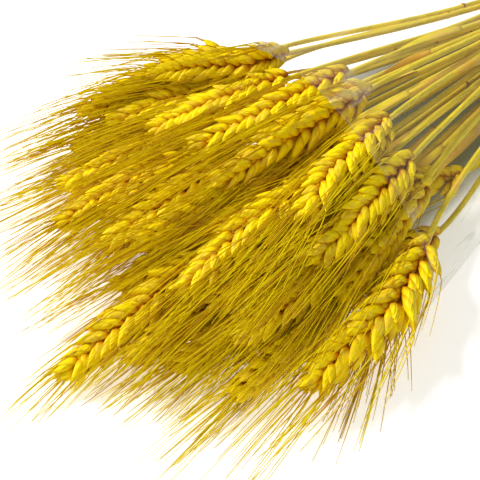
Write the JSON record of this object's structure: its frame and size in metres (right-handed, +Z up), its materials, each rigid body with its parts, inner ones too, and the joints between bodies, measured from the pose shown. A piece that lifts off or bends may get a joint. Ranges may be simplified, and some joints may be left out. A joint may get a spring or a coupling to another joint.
{
  "type": "bunch of wheat ears",
  "caption": "Dried, yellow-dyed bearded wheat on straw stems, tied with a rubber band in a conical clear film sleeve and lying on its side.",
  "frame": {"origin": "on the surface that the bunch lies on, under the middle of its box", "axes": "+Z up; +Y along the bunch, towards the cut ends of the stems; -Y towards the ears and the tips of the awns; +X to the side"},
  "size_m": [0.245, 0.565, 0.065],
  "materials": {
    "straw": "dried and dyed, satin husks",
    "film": "clear, glossy, wrinkled",
    "rubber": "matt"
  },
  "bodies": {
    "root": {"stalk_01": "straw", "stalk_02": "straw", "stalk_03": "straw", "stalk_04": "straw", "stalk_05": "straw", "stalk_06": "straw", "stalk_07": "straw", "stalk_08": "straw", "stalk_09": "straw", "stalk_10": "straw", "stalk_11": "straw", "stalk_12": "straw", "stalk_13": "straw", "stalk_14": "straw", "stalk_15": "straw", "stalk_16": "straw", "stalk_17": "straw", "stalk_18": "straw", "stalk_19": "straw", "stalk_20": "straw", "stalk_21": "straw", "stalk_22": "straw", "stalk_23": "straw", "stalk_24": "straw", "stalk_25": "straw", "stalk_26": "straw", "stalk_27": "straw", "stalk_28": "straw", "stalk_29": "straw", "stalk_30": "straw", "stalk_31": "straw", "stalk_32": "straw", "sleeve": "film", "band": "rubber"}
  },
  "joints": []
}
